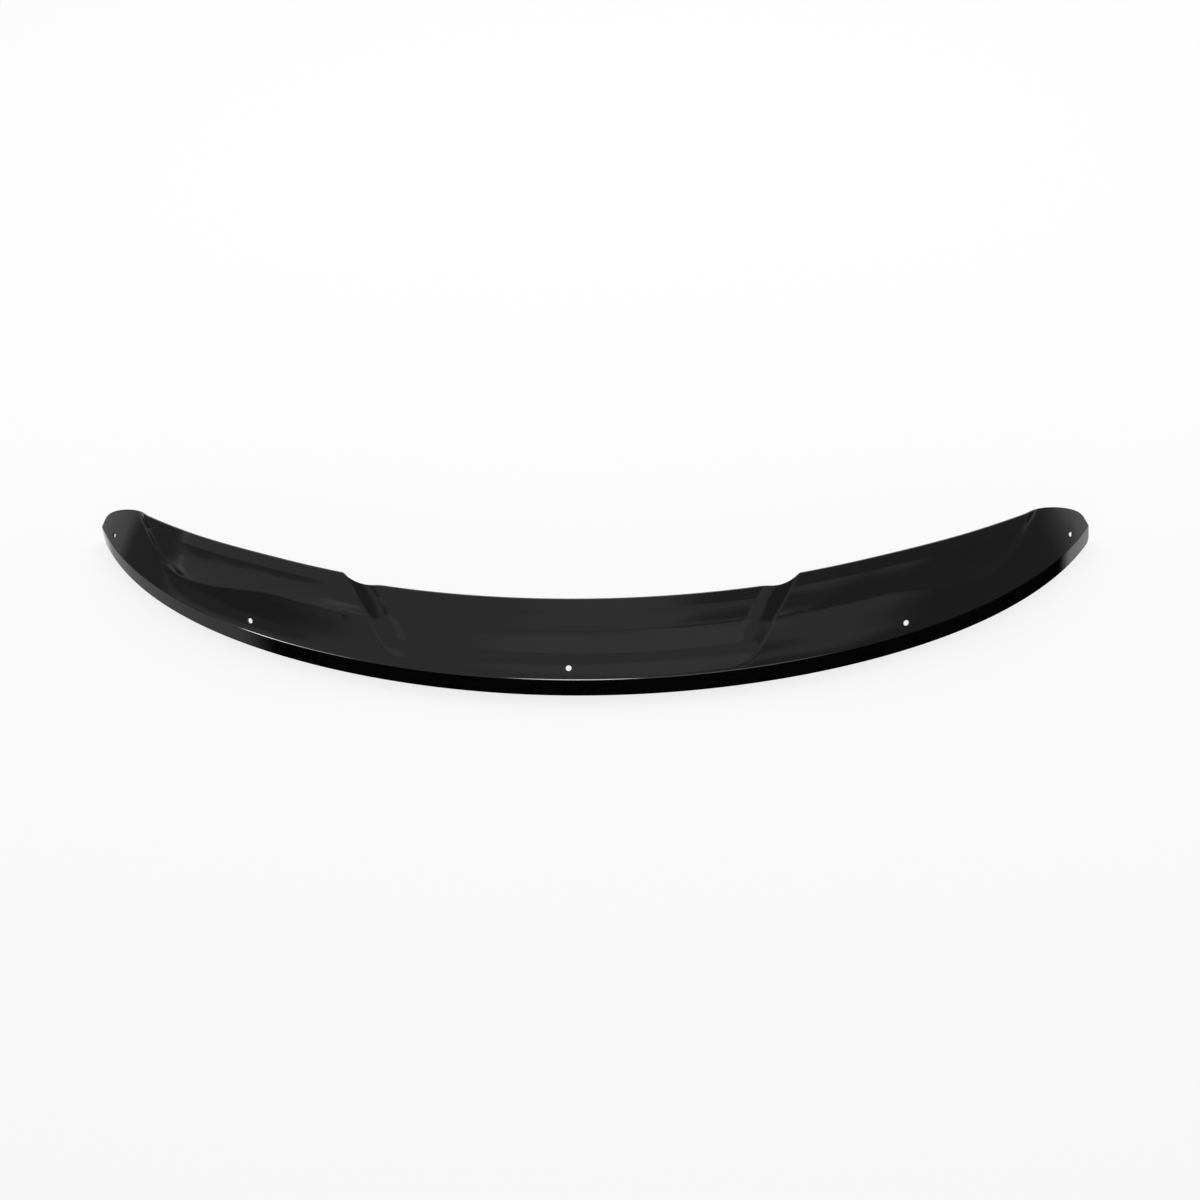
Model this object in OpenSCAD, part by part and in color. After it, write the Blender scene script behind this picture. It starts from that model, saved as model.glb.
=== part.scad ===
// Hood bug deflector: one sheet of gloss black acrylic, heated, formed and trimmed.
// The flange stands in front of the hood's lip, the strip above the fold is screwed down,
// and the panel above the strip throws the air up and over the windscreen.
// X runs across the vehicle, Y to its rear and Z up. The flange's lower edge lies on Z = 0.

/* [Plan] */
// Length of the fold line from the middle to one end
half_length = 797; // [650:5:950]
// Turn of the fold line that is spread evenly along its length, in degrees
bow_angle = 34; // [20:0.5:42]
// Turn that is added close to the end, where the sheet wraps round the hood's corner
wrap_angle = 27; // [10:0.5:40]
// How suddenly the wrap begins: 3 is gradual and 7 is sudden
wrap_power = 5; // [3:1:7]

/* [Sheet] */
// Thickness of the sheet
wall = 3; // [2:0.1:5]

/* [Flange and fold] */
// Length of the flange below the fold
flange_length = 30; // [15:1:45]
// Lean of the flange to the front, in degrees from upright
flange_lean_angle = 5; // [0:1:15]
// Radius of the fold between the flange and the strip
fold_radius = 7; // [4:0.5:12]

/* [Fixing strip] */
// Width of the strip at the middle of the sheet
centre_strip = 26; // [20:1:36]
// Slope of the middle strip just above the fold, in degrees
centre_strip_angle = 44; // [30:1:60]
// Width of the strip in the wings
wing_strip = 56; // [40:1:62]
// Width of the strip where the crease runs out, near the ends
end_strip = 30; // [24:1:38]
// Distance from the middle at which the strip begins to narrow
strip_taper = 430; // [380:5:460]
// Slope of the wing strip just above the fold, in degrees
wing_strip_angle = 58; // [40:1:65]
// Slope that the strip loses on its way up, in degrees
strip_crown_angle = 24; // [10:1:30]

/* [Panel and rim] */
// Radius of the hollow crease between the strip and the panel
crease_radius = 10; // [6:0.5:16]
// Slope of the panel just above the crease, in degrees
panel_angle = 68; // [55:1:75]
// Slope that the panel loses on its way up, in degrees
panel_crown_angle = 15; // [5:1:25]
// Slope of the rim along the top edge, in degrees
rim_angle = 60; // [54:1:75]
// Width of the rim
rim_width = 20; // [14:1:24]
// Radius of the bend below the rim
rim_radius = 14; // [8:1:24]

/* [Outline] */
// Width of the sheet from the fold to the top edge at the middle
centre_height = 108; // [92:1:125]
// How much less it is beside the ridges, inside the pocket
centre_dip = 5; // [0:0.5:10]
// The same width beside the ridges, where the wings are widest
wing_height = 122; // [112:1:135]
// The same width at the ends, before their corner is rounded
end_height = 57; // [50:1:70]
// How long the wings keep their width: 3 is briefly and 7 is nearly to the end
taper_power = 5; // [3:1:7]
// Length of the rounded top corner at each end
corner_length = 80; // [40:1:100]
// Fullness of the rounded corner: 2 is an ellipse
corner_fullness = 2; // [1.8:0.1:3]
// Width that is left above the fold at the very end
corner_end = 17; // [12:1:26]
// Radius of the flange's lower corner at each end
flange_corner = 9; // [4:1:14]

/* [Centre pocket] */
// Distance of the ridge from the middle, along the sheet's top edge
ridge_top = 336; // [290:2:370]
// Distance of the ridge from the middle, along the crease
ridge_foot = 266; // [230:2:285]
// Width of the flank that drops from the ridge into the pocket
flank_width = 44; // [30:1:60]
// Width of the rounded ridge itself, which is the tight bend at the top of the flank
ridge_round = 7; // [5:1:14]
// Depth of the pocket below the wings
pocket_depth = 18; // [6:1:22]
// Width over which the pocket deepens above the crease
pocket_ramp = 40; // [20:1:60]

/* [Plain ends] */
// Distance from the end of the slanted line where the crease runs out, at its foot
fade_foot = 182; // [150:2:220]
// The same distance at the top of the line
fade_top = 80; // [60:2:110]
// Width over which the crease runs out
fade_width = 36; // [24:2:60]
// Slope of the plain end just above the fold, in degrees
end_angle = 56; // [46:1:66]

/* [Fixing holes] */
// Diameter of each hole
hole_d = 8; // [4:0.5:10]
// Distance of the holes above the fold, along the strip
hole_rise = 13; // [10:0.5:18]
// Distance of the wing holes from the middle one, along the fold
wing_hole = 470; // [420:1:520]
// Distance of the end holes from the ends of the sheet, along the fold
end_hole_inset = 38; // [30:1:50]

/* [Smoothness] */
// Steps along the middle, from its centre to the ridge's flank
centre_steps = 8; // [5:1:10]
// Steps across the slanted flank and its ridge
ridge_steps = 10; // [7:1:12]
// Steps along a wing
wing_steps = 12; // [9:1:15]
// Steps along the place where the crease runs out
fade_steps = 10; // [8:1:12]
// Steps round the corner at an end
corner_steps = 12; // [9:1:14]

/* [Hidden] */
sheet_colour = "#0b0b0c";
hole_sides = 48;
spine_steps = 24;
probe = wall / 6;
straight = 0.01;
bore_length = 8 * wall;
flange_angle = 90 - flange_lean_angle;
flank_start = ridge_foot - flank_width;
fade_start = half_length - fade_foot - fade_width;
corner_start = half_length - corner_length;
lean_start = flank_start / 4;
lean_end = mix(ridge_top, wing_hole, 0.7);
ridge_crowding = 1.6;

// A share is kept from 0 to 1, and ease is a smooth step that is level at both ends
function share(t) = min(max(t, 0), 1);
function ease(t) = let (c = share(t)) c * c * (3 - 2 * c);
function mix(a, b, t) = a + (b - a) * t;
function total(v, i = 0) = i < len(v) ? v[i] + total(v, i + 1) : 0;
function bend(radius, from, to) = radius * abs(to - from) * PI / 180;

// Profile of a flank, from 0 on the ridge to 1 in the pocket: a tight bend, then ever flatter
function flank(t) =
    let (c = share(t), tight = ridge_round / flank_width)
    c < tight ? c * c / tight : 1 - (1 - c) * (1 - c) / (1 - tight);

// Plan of the fold line: its heading, and its place by Simpson's rule
function heading(s) =
    let (u = s / half_length)
    bow_angle * u + wrap_angle * sign(u) * pow(abs(u), wrap_power);
function simpson_weight(i) = i == 0 || i == spine_steps ? 1 : i % 2 == 1 ? 4 : 2;
function spine_term(s, i) = let (a = heading(s * i / spine_steps)) simpson_weight(i) * [cos(a), sin(a)];
function spine_sum(s, i = 0) = i > spine_steps ? [0, 0] : spine_term(s, i) + spine_sum(s, i + 1);
function spine(s) = s / spine_steps / 3 * spine_sum(s);

// Outline: width above the fold before and after the corners are rounded
function wing_width(s) = mix(wing_height, end_height, pow(share(abs(s) / half_length), taper_power));
function side(s) = 1 - flank((ridge_top - abs(s)) / flank_width);
function centre_width(s) = centre_height - centre_dip * pow(share(abs(s) / ridge_top), 2);
function full_width(s) = mix(centre_width(s), wing_width(s), side(s));
function corner(s) =
    let (e = share((abs(s) - corner_start) / corner_length))
    pow(1 - pow(e, corner_fullness), 1 / corner_fullness);
function width(s) = mix(corner_end, full_width(s), corner(s));
function flange_cut(s) =
    let (e = share((abs(s) - half_length + flange_corner) / flange_corner))
    flange_corner * (1 - sqrt(1 - e * e));

// A section is a list of arcs, each [length, slope at its start, slope at its end],
// walked from the lower edge of the flange to the top edge of the rim.
function section(strip, slope, loss, high) =
    let (crown = slope - loss, crest = panel_angle - panel_crown_angle)
    let (fold = bend(fold_radius, flange_angle, slope), hollow = bend(crease_radius, crown, panel_angle))
    let (lip = bend(rim_radius, crest, rim_angle))
    let (panel = max(high - strip - hollow - lip - rim_width, wall))
    [
        [flange_length, flange_angle, flange_angle],
        [fold, flange_angle, slope],
        [strip, slope, crown],
        [hollow, crown, panel_angle],
        [panel, panel_angle, crest],
        [lip, crest, rim_angle],
        [rim_width, rim_angle, rim_angle]
    ];
function centre_section(s) =
    section(centre_strip, centre_strip_angle, strip_crown_angle, centre_width(s));
function wing_section(s) =
    let (t = ease((abs(s) - strip_taper) / (half_length - fade_foot - strip_taper)))
    let (strip = mix(wing_strip, end_strip, t))
    section(strip, wing_strip_angle, strip_crown_angle * strip / wing_strip, wing_width(s));
function end_section(s) =
    let (fold = bend(fold_radius, flange_angle, end_angle), crest = panel_angle - panel_crown_angle)
    [
        [flange_length, flange_angle, flange_angle],
        [fold, flange_angle, end_angle],
        [wing_width(s), end_angle, crest]
    ];

// Place on a section, [inward, up], after a walk of a given length. An arc that turns less
// than the angle named straight is walked as a line.
function arc(run, from, to) =
    abs(to - from) < straight
        ? run * [cos(from), sin(from)]
        : run * 180 / PI / (to - from) * [sin(to) - sin(from), cos(from) - cos(to)];
function walk(l, list, i = 0) =
    let (last = i == len(list) - 1, run = last ? l : min(l, list[i][0]))
    let (to = list[i][1] + (list[i][2] - list[i][1]) * run / list[i][0])
    arc(run, list[i][1], to) + (l > run ? walk(l - run, list, i + 1) : [0, 0]);

// The sheet's outer face: pocket at the middle, creased wings and plain ends, blended
function ridge(l) =
    let (above = l - flange_length - centre_strip)
    mix(ridge_foot, ridge_top, above / (wing_height - centre_strip));
function pocket(l) = pocket_depth * ease((l - flange_length - centre_strip) / pocket_ramp);
function pocket_point(s, l) =
    walk(l, centre_section(s)) + pocket(l) * [sin(panel_angle), -cos(panel_angle)];
function fade_line(l) =
    half_length - mix(fade_foot, fade_top, share((l - flange_length - end_strip) / end_height));
function plainness(s, l) = ease((abs(s) - fade_line(l)) / fade_width + 0.5);
function wing_point(s, l) = mix(walk(l, wing_section(s)), walk(l, end_section(s)), plainness(s, l));
function section_point(s, l) =
    mix(wing_point(s, l), pocket_point(s, l), flank((ridge(l) - abs(s)) / flank_width));
function outer(s, l) =
    let (a = heading(s), q = section_point(s, l), p = spine(s) + q[0] * [-sin(a), cos(a)])
    [p[0], p[1], q[1]];
function inward(s, l) =
    let (across = outer(s + probe, l) - outer(s - probe, l))
    let (down = outer(s, max(l - probe, 0)) - outer(s, l + probe))
    let (n = cross(across, down))
    n / norm(n);
function inner(s, l) = let (p = outer(s, l) + wall * inward(s, l)) [p[0], p[1], l == 0 ? 0 : p[2]];

// Rows of the mesh: how far up each section its points lie
CUTS = [2, 4, 4, 4, 5, 2, 2];
function rungs(list, i = 0, from = 0) =
    i == len(list)
        ? [from]
        : concat(
            [for (k = [0:CUTS[i] - 1]) from + list[i][0] * k / CUTS[i]],
            rungs(list, i + 1, from + list[i][0])
        );
function trimmed(s, l) =
    let (foot = flange_length)
    l <= foot
        ? foot - (foot - l) * (foot - flange_cut(s)) / foot
        : foot + (l - foot) * width(s) / full_width(s);
function station_rows(s) =
    let (a = rungs(centre_section(s)), b = rungs(wing_section(s)), t = side(s))
    let (rows = [for (i = [0:len(a) - 1]) mix(a[i], b[i], t)])
    let (above = rows[len(rows) - 1] - flange_length, fit = full_width(s) / above)
    [for (l = rows) trimmed(s, l <= flange_length ? l : flange_length + (l - flange_length) * fit)];

// Columns of the mesh: close together where the sheet turns quickly, and closest at the ridge
function flank_station(i) = ridge_foot - flank_width * pow(1 - i / ridge_steps, ridge_crowding);
half_stations = concat(
    [for (i = [0:centre_steps - 1]) flank_start * i / centre_steps],
    [for (i = [0:ridge_steps - 1]) flank_station(i)],
    [for (i = [0:wing_steps - 1]) mix(ridge_foot, fade_start, i / wing_steps)],
    [for (i = [0:fade_steps - 1]) mix(fade_start, corner_start, i / fade_steps)],
    [for (i = [0:corner_steps]) corner_start + corner_length * sin(90 * i / corner_steps)]
);
stations = concat([for (i = [len(half_stations) - 1:-1:1]) -half_stations[i]], half_stations);
rows = total(CUTS) + 1;
columns = len(stations);

// The columns that cross a ridge lean with it, so that the ridge follows the mesh
function lean(s) =
    let (rise = (abs(s) - lean_start) / (flank_start - lean_start))
    let (fall = (lean_end - abs(s)) / (lean_end - ridge_foot))
    share(min(rise, fall));
function leaned(s, l) =
    s + sign(s) * lean(s) * (ridge(max(l, flange_length + centre_strip)) - ridge_foot);
places = [
    for (s = stations)
        let (upright = station_rows(s))
        for (j = [0:rows - 1])
            let (t = leaned(s, upright[j]))
            [t, t == s ? upright[j] : station_rows(t)[j]]
];
outer_points = [for (p = places) outer(p[0], p[1])];
inner_points = [for (p = places) inner(p[0], p[1])];
sheet_points = concat(outer_points, inner_points);
depths = [for (p = sheet_points) p[1]];
middle = (min(depths) + max(depths)) / 2;

function quad(a, b, c, d) = [[a, b, c], [a, c, d]];
function at(i, j) = i * rows + j;
function skin_faces(shift, flip) = [
    for (i = [0:columns - 2]) for (j = [0:rows - 2])
        let (q = [for (k = [at(i, j), at(i, j + 1), at(i + 1, j + 1), at(i + 1, j)]) k + shift])
        for (f = flip ? quad(q[3], q[2], q[1], q[0]) : quad(q[0], q[1], q[2], q[3])) f
];
function edge_faces(j, n, flip) = [
    for (i = [0:columns - 2])
        let (q = [at(i, j), at(i + 1, j), at(i + 1, j) + n, at(i, j) + n])
        for (f = flip ? quad(q[3], q[2], q[1], q[0]) : quad(q[0], q[1], q[2], q[3])) f
];
function end_faces(i, n, flip) = [
    for (j = [0:rows - 2])
        let (q = [at(i, j), at(i, j + 1), at(i, j + 1) + n, at(i, j) + n])
        for (f = flip ? quad(q[3], q[2], q[1], q[0]) : quad(q[0], q[1], q[2], q[3])) f
];

module formed_sheet() {
    n = rows * columns;
    polyhedron(
        points = sheet_points,
        faces = concat(
            skin_faces(0, false),
            skin_faces(n, true),
            edge_faces(0, n, false),
            edge_faces(rows - 1, n, true),
            end_faces(0, n, true),
            end_faces(columns - 1, n, false)
        ),
        convexity = 8
    );
}

// A straight drill through the sheet, square to its face
module drilled_hole(s) {
    fold = bend(fold_radius, flange_angle, mix(centre_strip_angle, wing_strip_angle, side(s)));
    l = flange_length + fold + hole_rise;
    n = inward(s, l);
    translate(outer(s, l) + n * wall / 2)
        rotate([0, acos(n[2]), atan2(n[1], n[0])])
            cylinder(d = hole_d, h = bore_length, center = true, $fn = hole_sides);
}

module deflector_shield() {
    end_hole = half_length - end_hole_inset;
    color(sheet_colour)
        translate([0, -middle, 0])
            difference() {
                formed_sheet();
                for (s = [-end_hole, -wing_hole, 0, wing_hole, end_hole]) drilled_hole(s);
            }
}

deflector_shield();
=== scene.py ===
# %% [markdown]
# # A hood bug deflector in gloss black acrylic
# A deflector is one sheet of acrylic about 3 mm thick. A shop cuts a flat blank, drills it,
# heats it until it is soft, lays it over a mould, and routes its edges. This lesson follows
# the same order, so every step in Blender has its counterpart on the shop's floor.
# The CAD model comes first, as a fixed frame: it gives the place and the size of everything.

import math

import bmesh
import bpy
from mathutils import Matrix, Vector


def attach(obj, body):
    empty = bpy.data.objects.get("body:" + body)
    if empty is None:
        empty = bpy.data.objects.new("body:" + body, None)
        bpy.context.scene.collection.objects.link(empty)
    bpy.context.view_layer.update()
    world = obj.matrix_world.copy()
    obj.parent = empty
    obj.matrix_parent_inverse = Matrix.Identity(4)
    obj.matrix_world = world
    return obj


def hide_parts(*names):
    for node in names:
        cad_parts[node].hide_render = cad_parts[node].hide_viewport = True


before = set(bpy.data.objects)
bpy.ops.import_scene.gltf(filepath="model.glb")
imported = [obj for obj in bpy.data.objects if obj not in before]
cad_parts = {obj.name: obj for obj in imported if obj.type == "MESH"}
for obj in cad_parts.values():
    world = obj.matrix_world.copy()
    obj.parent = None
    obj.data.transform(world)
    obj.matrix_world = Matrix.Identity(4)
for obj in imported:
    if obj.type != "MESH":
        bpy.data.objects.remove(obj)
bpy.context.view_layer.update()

# %% [markdown]
# ## The sizes of the sheet
# All lengths are millimetres and all angles are degrees, as on a drawing. They are the same
# values as in the part's own source, so the dressed piece fills the same space. A slope is
# measured from the horizontal: 90 stands upright.

# %% Sizes
MM = 0.001
HALF_LENGTH = 797
BOW, WRAP, WRAP_POWER = 34, 27, 5
WALL = 3
FLANGE, FLANGE_ANGLE, FOLD_RADIUS = 30, 85, 7
CENTRE_STRIP, CENTRE_STRIP_ANGLE = 26, 44
WING_STRIP, WING_STRIP_ANGLE, END_STRIP, STRIP_TAPER = 56, 58, 30, 430
STRIP_CROWN, PANEL_ANGLE, PANEL_CROWN = 24, 68, 15
CREASE_RADIUS, RIM_ANGLE, RIM_WIDTH, RIM_RADIUS = 10, 60, 20, 14
CENTRE_HEIGHT, CENTRE_DIP, WING_HEIGHT, END_HEIGHT, TAPER_POWER = 108, 5, 122, 57, 5
CORNER_LENGTH, CORNER_END, FLANGE_CORNER = 80, 17, 9
RIDGE_TOP, RIDGE_FOOT, FLANK, RIDGE_ROUND = 336, 266, 44, 7
POCKET_DEPTH, POCKET_RAMP = 18, 40
FADE_FOOT, FADE_TOP, FADE_WIDTH, END_ANGLE = 182, 80, 36, 56
HOLE_RADIUS, HOLE_RISE = 4, 13
WING_HOLE, END_HOLE = 470, HALF_LENGTH - 38
BOX_MIDDLE_Y = 143.444  # half the depth of the bow, so that the middle of the box is at zero
COOLING = 0.9995  # the sheet shrinks a little as it cools, and stays inside the CAD box
print("fold line", 2 * HALF_LENGTH, "mm long, sheet", WALL, "mm thick")

# %% [markdown]
# ## Walking a section
# Seen from the end, the sheet is a chain of arcs: flange, fold, fixing strip, hollow crease,
# panel, bend and rim. Each arc is written as its length and its slope at both ends, and
# walking along the chain gives a point. That is how a sheet behaves: bending it changes the
# slopes and keeps the lengths, so a blank can be laid out flat before it is formed.


# %% Walk along arcs
def share(t):
    return min(max(t, 0), 1)


def ease(t):
    return share(t) ** 2 * (3 - 2 * share(t))


def mix(a, b, t):
    return a + (b - a) * t


def flank(t):
    tight = RIDGE_ROUND / FLANK
    t = share(t)
    return t * t / tight if t < tight else 1 - (1 - t) ** 2 / (1 - tight)


def bend_length(radius, start, end):
    return radius * math.radians(abs(end - start))


def walk(length, arcs):
    inward, up = 0, 0
    for number, (run, start, end) in enumerate(arcs):
        part = length if number == len(arcs) - 1 else min(length, run)
        a = math.radians(start)
        turn = math.radians(end - start) * part / run
        if abs(turn) < 1e-4:
            inward, up = inward + part * math.cos(a), up + part * math.sin(a)
        else:
            radius = part / turn
            inward += radius * (math.sin(a + turn) - math.sin(a))
            up += radius * (math.cos(a) - math.cos(a + turn))
        length -= part
        if length <= 0:
            break
    return inward, up


print("a quarter turn of radius 10 ends at", walk(10 * math.pi / 2, [(10 * math.pi / 2, 0, 90)]))

# %% [markdown]
# ## Three sections and the outline
# The middle has a narrow strip and a pocket, the wings have a wide strip, and the ends are
# plain. The widths say where the router trims the sheet: nearly even along the wings, lower
# over the middle, and rounded off at both ends.


# %% Sections and outline
def wing_width(s):
    return mix(WING_HEIGHT, END_HEIGHT, share(abs(s) / HALF_LENGTH) ** TAPER_POWER)


def centre_width(s):
    return CENTRE_HEIGHT - CENTRE_DIP * share(abs(s) / RIDGE_TOP) ** 2


def wing_share(s):
    return 1 - flank((RIDGE_TOP - abs(s)) / FLANK)


def full_width(s):
    return mix(centre_width(s), wing_width(s), wing_share(s))


def trimmed_width(s):
    end = share((abs(s) - HALF_LENGTH + CORNER_LENGTH) / CORNER_LENGTH)
    return mix(CORNER_END, full_width(s), math.sqrt(1 - end * end))


def flange_cut(s):
    end = share((abs(s) - HALF_LENGTH + FLANGE_CORNER) / FLANGE_CORNER)
    return FLANGE_CORNER * (1 - math.sqrt(1 - end * end))


def creased_section(strip, slope, loss, high):
    crown, crest = slope - loss, PANEL_ANGLE - PANEL_CROWN
    hollow = bend_length(CREASE_RADIUS, crown, PANEL_ANGLE)
    lip = bend_length(RIM_RADIUS, crest, RIM_ANGLE)
    return [
        (FLANGE, FLANGE_ANGLE, FLANGE_ANGLE),
        (bend_length(FOLD_RADIUS, FLANGE_ANGLE, slope), FLANGE_ANGLE, slope),
        (strip, slope, crown),
        (hollow, crown, PANEL_ANGLE),
        (max(high - strip - hollow - lip - RIM_WIDTH, WALL), PANEL_ANGLE, crest),
        (lip, crest, RIM_ANGLE),
        (RIM_WIDTH, RIM_ANGLE, RIM_ANGLE),
    ]


def centre_section(s):
    return creased_section(CENTRE_STRIP, CENTRE_STRIP_ANGLE, STRIP_CROWN, centre_width(s))


def wing_section(s):
    taper = ease((abs(s) - STRIP_TAPER) / (HALF_LENGTH - FADE_FOOT - STRIP_TAPER))
    strip = mix(WING_STRIP, END_STRIP, taper)
    return creased_section(strip, WING_STRIP_ANGLE, STRIP_CROWN * strip / WING_STRIP, wing_width(s))


def end_section(s):
    return [
        (FLANGE, FLANGE_ANGLE, FLANGE_ANGLE),
        (bend_length(FOLD_RADIUS, FLANGE_ANGLE, END_ANGLE), FLANGE_ANGLE, END_ANGLE),
        (wing_width(s), END_ANGLE, PANEL_ANGLE - PANEL_CROWN),
    ]


print("width at the middle", full_width(0), "and in the wings", round(full_width(RIDGE_TOP), 1))

# %% [markdown]
# ## The mould
# In plan the fold line is a bow that turns more quickly near its ends, where the sheet wraps
# round the corners of the hood. A point of the blank is known by its distance s along the
# fold line and l up the section. The mould carries it to its place: the two ridges blend the
# pocket into the wings, and further out the crease fades into the plain ends.


# %% The form that the sheet is laid over
def heading(s):
    u = s / HALF_LENGTH
    return math.radians(BOW * u + math.copysign(WRAP * abs(u) ** WRAP_POWER, u))


def fold_line(s, steps=24):
    x, y = 0, 0
    for i in range(steps + 1):
        weight = 1 if i in (0, steps) else 4 if i % 2 else 2
        x += weight * math.cos(heading(s * i / steps))
        y += weight * math.sin(heading(s * i / steps))
    return x * s / steps / 3, y * s / steps / 3


def ridge_lean():
    return (RIDGE_TOP - RIDGE_FOOT) / (WING_HEIGHT - CENTRE_STRIP)


def section_point(s, l):
    above = l - FLANGE - CENTRE_STRIP
    depth = POCKET_DEPTH * ease(above / POCKET_RAMP)
    inside = flank((RIDGE_FOOT + ridge_lean() * above - abs(s)) / FLANK)
    fade_line = HALF_LENGTH - mix(FADE_FOOT, FADE_TOP, share((l - FLANGE - END_STRIP) / END_HEIGHT))
    plain = ease((abs(s) - fade_line) / FADE_WIDTH + 0.5)
    point = Vector(walk(l, wing_section(s))).lerp(Vector(walk(l, end_section(s))), plain)
    if inside > 0:
        slope = math.radians(PANEL_ANGLE)
        pocket = Vector((math.sin(slope), -math.cos(slope))) * depth
        point = point.lerp(Vector(walk(l, centre_section(s))) + pocket, inside)
    return point


def formed(s, l):
    inward, up = section_point(s, l)
    x, y = fold_line(s)
    a = heading(s)
    place = Vector((x - inward * math.sin(a), y + inward * math.cos(a) - BOX_MIDDLE_Y, up))
    return place * COOLING


print("the middle of the fold lies at", [round(v, 1) for v in formed(0, FLANGE)], "mm")

# %% [markdown]
# ## The flat blank
# The blank is a grid. Its lines are close together round the holes, in the bends and on the
# ridges, and wide apart where the sheet is calm, so that a gloss surface reflects smoothly
# without a heavy mesh. The lines that cross a ridge lean with it.


# %% Lines of the blank
def even(start, end, spacing):
    steps = max(round((end - start) / spacing), 1)
    return [mix(start, end, i / steps) for i in range(steps)]


HOLE_MARGIN = 12
FINE, CLOSE, CALM = 1.5, 1.8, 4
CLOSE_START, CLOSE_END = 214, 290
TIP_STEPS = 16
HOLE_ROWS, NEAR_ROWS = 9, 15
ROW_STEPS = [10, 8, NEAR_ROWS, 10, 10, 16, 5, 7]

near_strip = NEAR_ROWS * HOLE_RISE / HOLE_ROWS
tip = END_HOLE + HOLE_MARGIN
half = (
    even(0, HOLE_MARGIN, FINE)
    + even(HOLE_MARGIN, CLOSE_START, CALM)
    + even(CLOSE_START, CLOSE_END, CLOSE)
    + even(CLOSE_END, WING_HOLE - HOLE_MARGIN, CALM)
    + even(WING_HOLE - HOLE_MARGIN, WING_HOLE + HOLE_MARGIN, FINE)
    + even(WING_HOLE + HOLE_MARGIN, END_HOLE - HOLE_MARGIN, CALM)
    + even(END_HOLE - HOLE_MARGIN, tip, FINE)
    + [tip + (HALF_LENGTH - tip) * math.sin(math.pi / 2 * i / TIP_STEPS) for i in range(TIP_STEPS + 1)]
)
columns = [-s for s in reversed(half[1:])] + half


def row_lengths(s):
    a, b = centre_section(s), wing_section(s)
    runs = [mix(p[0], q[0], wing_share(s)) for p, q in zip(a, b)]
    runs[2:3] = [near_strip, runs[2] - near_strip]
    runs[-1] = full_width(s) + FLANGE - sum(runs[:-1])
    rows, start = [], 0
    for run, steps in zip(runs, ROW_STEPS):
        rows += [start + run * i / steps for i in range(steps)]
        start += run
    rows.append(start)
    scale = trimmed_width(s) / full_width(s)
    keep = (FLANGE - flange_cut(s)) / FLANGE
    return [FLANGE + (l - FLANGE) * (scale if l > FLANGE else keep) for l in rows]


print(len(columns), "columns and", sum(ROW_STEPS) + 1, "rows")

# %% [markdown]
# A primitive grid makes the blank. Each of its vertices is then moved to its own crossing of
# lines, still flat: x is the distance along the fold line and y the distance up the section.

# %% Make the blank
LEAN_FROM, LEAN_TO = 60, 440


def leaned(s, l):
    a = abs(s)
    rising = share((a - LEAN_FROM) / (RIDGE_FOOT - FLANK - LEAN_FROM))
    falling = share((LEAN_TO - a) / (LEAN_TO - RIDGE_FOOT))
    weight = min(rising, falling)
    return math.copysign(a + weight * ridge_lean() * max(l - FLANGE - CENTRE_STRIP, 0), s)


sheet = bmesh.new()
bmesh.ops.create_grid(sheet, x_segments=len(columns) - 1, y_segments=sum(ROW_STEPS), size=1)
crossing = {}
for v in sheet.verts:
    i = round((v.co.x + 1) / 2 * (len(columns) - 1))
    j = round((v.co.y + 1) / 2 * sum(ROW_STEPS))
    crossing[i, j] = v
for i, s in enumerate(columns):
    for j, l in enumerate(row_lengths(s)):
        slid = leaned(s, l)
        crossing[i, j].co = (slid, l if slid == s else row_lengths(slid)[j], 0)
print("blank:", len(sheet.verts), "vertices and", len(sheet.faces), "faces")

# %% [markdown]
# ## Drilling
# Five plain holes take the fasteners. A square of cells is taken out round each hole, and
# the edges of the square are extruded inwards to two circles. A drill goes in after forming,
# when the strip's face is shorter than the fold line, so the circle is a little longer in
# the flat.

# %% Drill the blank
BLOCK = 4  # cells taken out on each side of a hole's middle
LEDGE = 1.25  # radius of the ring of cells round the hole, in hole radii


def hole_place(s):
    fold = mix(centre_section(s)[1][0], wing_section(s)[1][0], wing_share(s))
    return Vector((s, FLANGE + fold + HOLE_RISE, 0))


def drill(mesh, s):
    place = hole_place(s)
    i = min(range(len(columns)), key=lambda k: abs(columns[k] - s))
    j = min(range(sum(ROW_STEPS)), key=lambda k: abs(crossing[i, k].co.y - place.y))
    stretch = 1 / (formed(s + 1, place.y) - formed(s, place.y)).length
    cells = []
    for a in range(i - BLOCK, i + BLOCK):
        for b in range(j - BLOCK, j + BLOCK):
            corners = [crossing[a, b], crossing[a + 1, b], crossing[a + 1, b + 1], crossing[a, b + 1]]
            cells.append(mesh.faces.get(corners))
    rim = {v for face in cells for v in face.verts}
    bmesh.ops.delete(mesh, geom=cells, context="FACES")
    rim = {v for v in rim if v.is_valid}
    ring = [e for e in mesh.edges if e.is_boundary and e.verts[0] in rim and e.verts[1] in rim]
    for radius in (HOLE_RADIUS * LEDGE, HOLE_RADIUS):
        made = bmesh.ops.extrude_edge_only(mesh, edges=ring)["geom"]
        ring = [e for e in made if isinstance(e, bmesh.types.BMEdge) and e.is_boundary]
        for v in [v for v in made if isinstance(v, bmesh.types.BMVert)]:
            away = (v.co - place).normalized() * radius
            v.co = place + Vector((away.x * stretch, away.y, 0))
    return len(ring)


for s in (-END_HOLE, -WING_HOLE, 0, WING_HOLE, END_HOLE):
    print("hole at", s, "with", drill(sheet, s), "sides")

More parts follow.
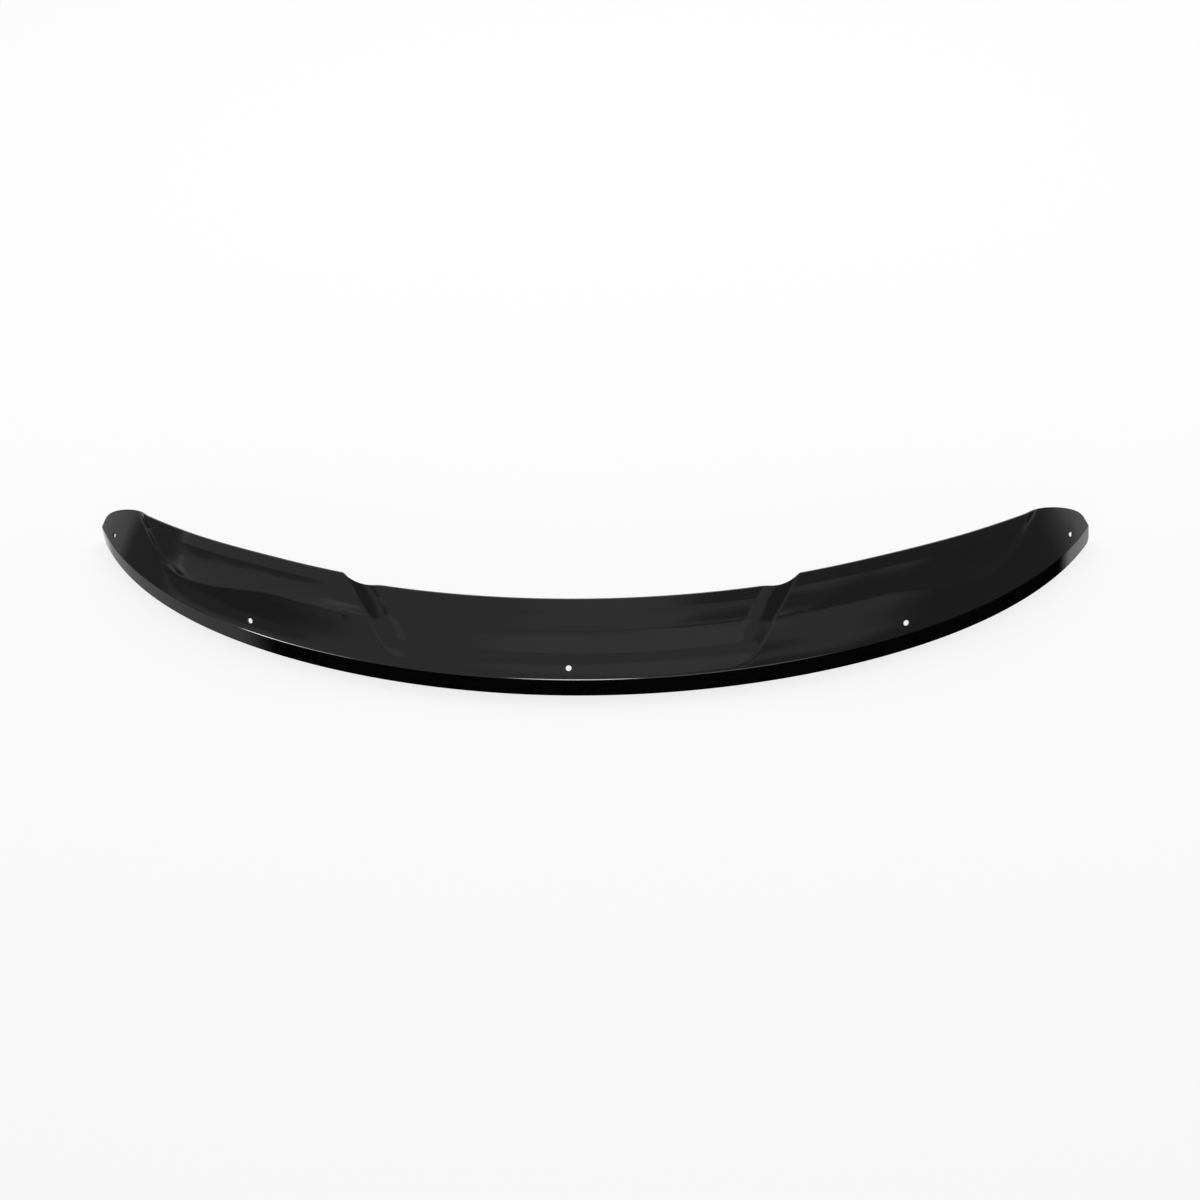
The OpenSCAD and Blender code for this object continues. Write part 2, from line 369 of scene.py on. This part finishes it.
# %% [markdown]
# ## Forming and thickness
# The hot blank now goes over the mould: every vertex is carried to its place. The formed
# skin is extruded, and the new skin is pushed inwards along the normals by the sheet's
# thickness, which closes the edges and the holes' walls at the same time. The flange's lower
# edge is sanded flat, because the part stands on it.

# %% Form the sheet
for v in sheet.verts:
    v.co = formed(v.co.x, v.co.y) * MM
bmesh.ops.recalc_face_normals(sheet, faces=sheet.faces)
if sheet.faces[0].normal.y > 0:
    bmesh.ops.reverse_faces(sheet, faces=sheet.faces)
sheet.normal_update()
skin = list(sheet.faces)
outer_skin = set(skin)
made = bmesh.ops.extrude_face_region(sheet, geom=skin, use_keep_orig=True)["geom"]
inner_skin = {f for f in made if isinstance(f, bmesh.types.BMFace)}
sheet.verts.index_update()
for v in [v for v in made if isinstance(v, bmesh.types.BMVert)]:
    v.co -= v.normal * WALL * MM
    v.co.z = max(v.co.z, 0)
bmesh.ops.recalc_face_normals(sheet, faces=sheet.faces)
walls = [f for f in sheet.faces if f not in outer_skin and f not in inner_skin]
for f in walls:
    f.material_index = 1
for f in sheet.faces:
    f.smooth = True
print("volume", round(sheet.calc_volume(signed=True) * 1e6, 1), "cm3, wall faces", len(walls))

# %% [markdown]
# ## The piece
# The mesh becomes one object, which stands for the CAD solid and rides on the part's only
# body. A scraper is drawn once along each routed edge in the shop, so the sharp corners get a
# small bevel, which also gives them the thin line of light that a real edge shows.

# %% Make the object
EDGE_BREAK = 0.4
SHARP = 50

mesh = bpy.data.meshes.new("deflector_sheet")
sheet.to_mesh(mesh)
sheet.free()
deflector = bpy.data.objects.new("deflector_sheet", mesh)
bpy.context.scene.collection.objects.link(deflector)
eased = deflector.modifiers.new("edges broken with a scraper", "BEVEL")
eased.width = EDGE_BREAK * MM
eased.segments = 2
eased.limit_method = "ANGLE"
eased.angle_limit = math.radians(SHARP)
eased.harden_normals = True
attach(deflector, "root")
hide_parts("deflector_shield")
print("triangles before the bevel:", sum(len(p.vertices) - 2 for p in mesh.polygons))

# %% [markdown]
# ## Helpers for materials
# One function turns a colour as a painter writes it, in sRGB hex, to the linear numbers that
# a renderer adds up. One adds a node: its settings, the sockets that are known by their place,
# and those that are known by name. Every pattern is given as a size in millimetres and turned
# to a scale, because object coordinates are metres.


# %% Helpers for materials
def linear(code):
    channels = [int(code[i : i + 2], 16) / 255 for i in (1, 3, 5)]
    return [c / 12.92 if c <= 0.04045 else ((c + 0.055) / 1.055) ** 2.4 for c in channels] + [1]


def add(tree, kind, settings=None, places=None, **inputs):
    node = tree.nodes.new(kind)
    for name, value in (settings or {}).items():
        setattr(node, name, value)
    sockets = list((places or {}).items()) + [(name.replace("_", " "), value) for name, value in inputs.items()]
    for key, value in sockets:
        if isinstance(value, bpy.types.NodeSocket):
            tree.links.new(value, node.inputs[key])
        else:
            node.inputs[key].default_value = value
    return node


def new_material(name):
    material = bpy.data.materials.new(name)
    material.use_nodes = True
    material.node_tree.nodes.clear()
    return material, material.node_tree


def each_metre(size_mm):
    return 1 / (size_mm * MM)


print("a mid grey in linear light:", [round(c, 3) for c in linear("#808080")])

# %% [markdown]
# ## Gloss black acrylic
# The sheet is cast acrylic, dyed black right through. Its face keeps the gloss of the glass
# that it was cast against, because it is formed without touching anything. Three small things
# tell it from a perfect mirror: waves about 60 mm long that forming left, hairlines from
# wiping it along its length, and a little dust on the parts that look up. They stay faint:
# the piece is new, and a stronger pattern would break the long smooth reflections.

# %% Gloss black acrylic
WAVE_LENGTH, WAVE_HEIGHT = 60, 0.05
HAIRLINE_LENGTH, HAIRLINE_PITCH = 90, 1.2
CLOUD_SIZE = 140
DUST_PITCH = 2.4  # real dust is 0.1 to 0.3 mm; it is drawn coarser, so that a picture cell can show it
GLOSS, WIPED = 0.035, 0.07

gloss, tree = new_material("black_cast_acrylic_formed_gloss")
where = add(tree, "ShaderNodeTexCoord").outputs["Object"]
waves = add(tree, "ShaderNodeTexNoise", Vector=where, Scale=each_metre(WAVE_LENGTH), Detail=1.0)
stretch = (1 / HAIRLINE_LENGTH, 1 / HAIRLINE_PITCH, 1 / HAIRLINE_PITCH)
along = add(tree, "ShaderNodeMapping", Vector=where, Scale=stretch)
hairlines = add(tree, "ShaderNodeTexNoise", Vector=along.outputs[0], Scale=each_metre(1), Detail=2.0)
clouds = add(tree, "ShaderNodeTexNoise", Vector=where, Scale=each_metre(CLOUD_SIZE), Detail=3.0)
wiped = add(tree, "ShaderNodeMapRange", Value=hairlines.outputs[0], From_Min=0.5, From_Max=0.8, To_Max=0.6)
hazy = add(tree, "ShaderNodeMapRange", Value=clouds.outputs[0], From_Min=0.35, From_Max=0.75, To_Max=0.5)
marked = add(tree, "ShaderNodeMath", {"operation": "ADD"}, {0: wiped.outputs[0], 1: hazy.outputs[0]})
rough = add(tree, "ShaderNodeMapRange", Value=marked.outputs[0], To_Min=GLOSS, To_Max=WIPED)
waved = add(tree, "ShaderNodeBump", Strength=1.0, Distance=WAVE_HEIGHT * MM, Height=waves.outputs[0])
clean = add(
    tree,
    "ShaderNodeBsdfPrincipled",
    Base_Color=linear("#09090a"),
    Roughness=rough.outputs[0],
    IOR=1.49,
    Normal=waved.outputs[0],
)
specks = add(tree, "ShaderNodeTexVoronoi", Vector=where, Scale=each_metre(DUST_PITCH))
speck = add(tree, "ShaderNodeMapRange", Value=specks.outputs["Distance"], From_Min=0.2, From_Max=0.05)
facing = add(tree, "ShaderNodeSeparateXYZ", Vector=add(tree, "ShaderNodeNewGeometry").outputs["Normal"])
settled = add(tree, "ShaderNodeMapRange", Value=facing.outputs["Z"], From_Min=0.2, From_Max=0.8, To_Max=0.05)
dusty = add(tree, "ShaderNodeMath", {"operation": "MULTIPLY"}, {0: speck.outputs[0], 1: settled.outputs[0]})
dust = add(tree, "ShaderNodeBsdfDiffuse", Color=linear("#8c8982"))
faces = {1: clean.outputs[0], 2: dust.outputs[0]}
both = add(tree, "ShaderNodeMixShader", None, faces, Fac=dusty.outputs[0])
add(tree, "ShaderNodeOutputMaterial", Surface=both.outputs[0])
mesh.materials.append(gloss)
print("gloss face: roughness", GLOSS, "to", WIPED)

# %% [markdown]
# ## Routed edge
# A router trims the sheet and a scraper breaks its corners, which leaves the edge satin and a
# shade greyer than the face. The cutter's steps across the edge are about 1.5 mm apart.

# %% Routed edge
CUTTER_STEP, STEP_HEIGHT = 1.5, 0.02
ONE_BAND = math.tau / 20  # the scale at which a wave node draws one band in each unit

routed, tree = new_material("black_acrylic_routed_edge")
where = add(tree, "ShaderNodeTexCoord").outputs["Object"]
settings = {"wave_type": "BANDS", "bands_direction": "X"}
pitch = each_metre(CUTTER_STEP) * ONE_BAND
steps = add(tree, "ShaderNodeTexWave", settings, Vector=where, Scale=pitch, Distortion=1.5)
grain = add(tree, "ShaderNodeTexNoise", Vector=where, Scale=each_metre(CUTTER_STEP), Detail=3.0)
satin = add(tree, "ShaderNodeMapRange", Value=grain.outputs[0], From_Min=0.3, From_Max=0.7, To_Min=0.26, To_Max=0.42)
cut = add(tree, "ShaderNodeBump", Strength=0.6, Distance=STEP_HEIGHT * MM, Height=steps.outputs[0])
edge = add(
    tree,
    "ShaderNodeBsdfPrincipled",
    Base_Color=linear("#131314"),
    Roughness=satin.outputs[0],
    IOR=1.49,
    Normal=cut.outputs[0],
)
add(tree, "ShaderNodeOutputMaterial", Surface=edge.outputs[0])
mesh.materials.append(routed)
print("materials:", [m.name for m in mesh.materials])

# %% [markdown]
# ## Camera
# The camera stands where the photograph was taken from: a little to the right, high up, and
# turned slightly, because the sheet isn't level in the picture. Its place was found by laying
# the outline, the five holes, the fold and the ridges over the picture.

# %% Camera
AZIMUTH, ELEVATION, ROLL = 10.2, 50.1, 7.74
DISTANCE, LENS, SHIFT = 3.147, 68.4, 0.0224
AIM_Y, AIM_Z = 120, 60
TARGET = Vector((0, AIM_Y - BOX_MIDDLE_Y, AIM_Z)) * MM
a, e, r = (math.radians(v) for v in (AZIMUTH, ELEVATION, ROLL))
back = Vector((math.sin(a) * math.cos(e), -math.cos(a) * math.cos(e), math.sin(e)))
right = Vector((math.cos(a), math.sin(a), 0))
up = back.cross(right)
side = right * math.cos(r) - up * math.sin(r)
top = right * math.sin(r) + up * math.cos(r)
lens = bpy.data.cameras.new("camera")
lens.lens = LENS
lens.sensor_width = 36
lens.shift_x = SHIFT
camera = bpy.data.objects.new("camera", lens)
bpy.context.scene.collection.objects.link(camera)
turn = Matrix((side, top, back)).transposed().to_4x4()
camera.matrix_world = Matrix.Translation(TARGET + back * DISTANCE) @ turn
bpy.context.scene.camera = camera
print("camera at", [round(v, 2) for v in camera.location])

# %% [markdown]
# ## Floor
# White background paper lies under the sheet. Its Light Path share lets the camera see it as
# clean white, while the rest of it still takes the soft shadow that sets the sheet down. The
# sheet's own reflections pass it by, and see the white lower half of the tent instead.

# %% Floor
FLOOR_REACH = 30
GLOW_SHARE = 0.75

grid = bmesh.new()
bmesh.ops.create_grid(grid, x_segments=1, y_segments=1, size=FLOOR_REACH)
data = bpy.data.meshes.new("floor")
grid.to_mesh(data)
grid.free()
floor = bpy.data.objects.new("floor", data)
bpy.context.scene.collection.objects.link(floor)
floor.visible_glossy = False
paper, tree = new_material("white_background_paper")
path = add(tree, "ShaderNodeLightPath").outputs
rays = {0: path["Is Camera Ray"], 1: path["Is Transmission Ray"]}
seen = add(tree, "ShaderNodeMath", {"operation": "MAXIMUM"}, rays)
part = add(tree, "ShaderNodeMath", {"operation": "MULTIPLY"}, {0: seen.outputs[0], 1: GLOW_SHARE})
matt = add(tree, "ShaderNodeBsdfDiffuse", Color=linear("#f7f7f7"))
glow = add(tree, "ShaderNodeEmission", Color=(1, 1, 1, 1), Strength=1.0)
faces = {1: matt.outputs[0], 2: glow.outputs[0]}
both = add(tree, "ShaderNodeMixShader", None, faces, Fac=part.outputs[0])
add(tree, "ShaderNodeOutputMaterial", Surface=both.outputs[0])
data.materials.append(paper)
print("floor", 2 * FLOOR_REACH, "m wide")

# %% [markdown]
# ## Tent
# Gloss black shows its surroundings and little else, so the studio is built for what the
# sheet reflects. The surroundings are an even soft grey, like a tent of diffusing cloth, over
# white paper. Before them hang soft round panels, as a photographer sets cards and lamps: dark
# ones shade a face or blacken the flange, and small bright ones draw the line along the fold.
# Each is given by where it stands (azimuth and elevation), its radius, the radius where it has
# faded out, and its level. A later panel hangs before an earlier one. Only reflections see
# them, and the camera sees plain white.

# %% Tent and panels
TENT, WHITE, HORIZON = 0.56, 1.0, 0.02
PANELS = [
    ("flange_grey_1", -105, -46, 12, 20, 0.5),
    ("flange_grey_2", -85, -46, 12, 20, 0.45),
    ("flange_grey_3", -65, -46, 12, 20, 0.42),
    ("left_paper", -52, -2, 12, 16, 0.57),
    ("left_tip_grey", -98, -7, 6, 15, 0.72),
    ("left_dark_low", -79, -3, 7, 14, 0.25),
    ("right_dark_low", 52, -6, 26, 36, 0.26),
    ("left_fold_dark_1", -88, -23, 9, 14, 0.12),
    ("left_fold_dark_2", -70, -23, 9, 14, 0.12),
    ("middle_fold_grey", -26, -14, 10, 16, 0.5),
    ("right_fold_dark_1", 50, -23, 9, 14, 0.12),
    ("right_fold_dark_2", 68, -23, 9, 14, 0.12),
    ("right_fold_dark_3", 86, -23, 9, 14, 0.12),
    ("flange_black_1", -38, -46, 12, 18, 0),
    ("flange_black_2", -13, -46, 12, 18, 0),
    ("flange_black_3", 7, -46, 12, 18, 0),
    ("flange_black_4", 27, -46, 12, 18, 0),
    ("flange_black_5", 47, -46, 12, 18, 0),
    ("flange_black_6", 67, -46, 12, 18, 0),
    ("flange_black_7", 78, -46, 12, 18, 0),
    ("left_light_1", -48, -24, 4, 6, 30),
    ("left_light_2", -43, -23, 3, 6, 14),
    ("left_light_3", -39, -22, 3, 5, 7),
    ("middle_light", -6, -13, 5, 9, 20),
    ("right_light", 15, -18, 7, 12, 1.6),
    ("left_dark", -68, 29, 14, 29, 0.22),
    ("left_rim_dark_1", -60, 15, 5, 10, 0.3),
    ("left_rim_dark_2", -48, 17, 4, 9, 0.33),
    ("right_dark", 66, 26, 18, 32, 0.24),
    ("right_tip_light", 112, 3, 10, 26, 1.3),
    ("front_high", 0, 60, 8, 18, 0.74),
    ("front_low", -2, 14, 5, 14, 0.66),
    ("front_strip", 7, 41, 2, 9, 0.75),
    ("middle_dark", 14, 32, 3, 10, 0.36),
    ("pocket_dark", 18, 8, 5, 13, 0.3),
]


def toward(azimuth, elevation):
    a, e = math.radians(azimuth), math.radians(elevation)
    return Vector((math.sin(a) * math.cos(e), -math.cos(a) * math.cos(e), math.sin(e)))


world = bpy.data.worlds.new("diffusing_tent")
bpy.context.scene.world = world
world.use_nodes = True
tree = world.node_tree
tree.nodes.clear()
looking = add(tree, "ShaderNodeTexCoord").outputs["Generated"]
height = add(tree, "ShaderNodeSeparateXYZ", Vector=looking).outputs["Z"]
level = add(tree, "ShaderNodeMapRange", Value=height, From_Min=-HORIZON, From_Max=HORIZON, To_Min=WHITE, To_Max=TENT)
for name, azimuth, elevation, whole, faded, strength in PANELS:
    settings = {"operation": "DOT_PRODUCT", "label": name}
    near = add(tree, "ShaderNodeVectorMath", settings, {0: looking, 1: toward(azimuth, elevation)})
    level = add(
        tree,
        "ShaderNodeMapRange",
        {"interpolation_type": "SMOOTHSTEP"},
        Value=near.outputs["Value"],
        From_Min=math.cos(math.radians(faded)),
        From_Max=math.cos(math.radians(whole)),
        To_Min=level.outputs[0],
        To_Max=strength,
    )
path = add(tree, "ShaderNodeLightPath").outputs
lit = add(tree, "ShaderNodeMapRange", Value=path["Is Glossy Ray"], To_Min=TENT, To_Max=level.outputs[0])
shown = add(tree, "ShaderNodeMapRange", Value=path["Is Camera Ray"], To_Min=lit.outputs[0], To_Max=WHITE)
sky = add(tree, "ShaderNodeBackground", Color=(1, 1, 1, 1), Strength=shown.outputs[0])
add(tree, "ShaderNodeOutputWorld", Surface=sky.outputs[0])
print(len(PANELS), "panels")

# %% [markdown]
# ## Softboxes
# Three softboxes behind and beside the sheet bring the floor up to its written white. From the
# camera's side the sheet doesn't mirror them.


# %% Softboxes
def softbox(name, azimuth, elevation, width, height, radiance, distance=2.5):
    light = bpy.data.lights.new(name, "AREA")
    light.shape = "RECTANGLE"
    light.size, light.size_y = width, height
    light.energy = radiance * math.pi * width * height
    box = bpy.data.objects.new(name, light)
    bpy.context.scene.collection.objects.link(box)
    away = toward(azimuth, elevation)
    across = Vector((-away.y, away.x, 0)).normalized()
    turn = Matrix((across, away.cross(across), away)).transposed().to_4x4()
    box.matrix_world = Matrix.Translation(TARGET + away * distance) @ turn
    print(name, round(light.energy, 1), "W")


softbox("rear_softbox", 180, 55, 2.6, 1.2, 2.0)
softbox("left_softbox", -125, 45, 1.4, 1.2, 1.6)
softbox("right_softbox", 125, 45, 1.4, 1.2, 1.6)

# %% [markdown]
# ## Close the scene
# The view transform stays Standard, so a colour renders as it was written.

# %% Close the scene
bpy.context.scene.view_settings.view_transform = "Standard"
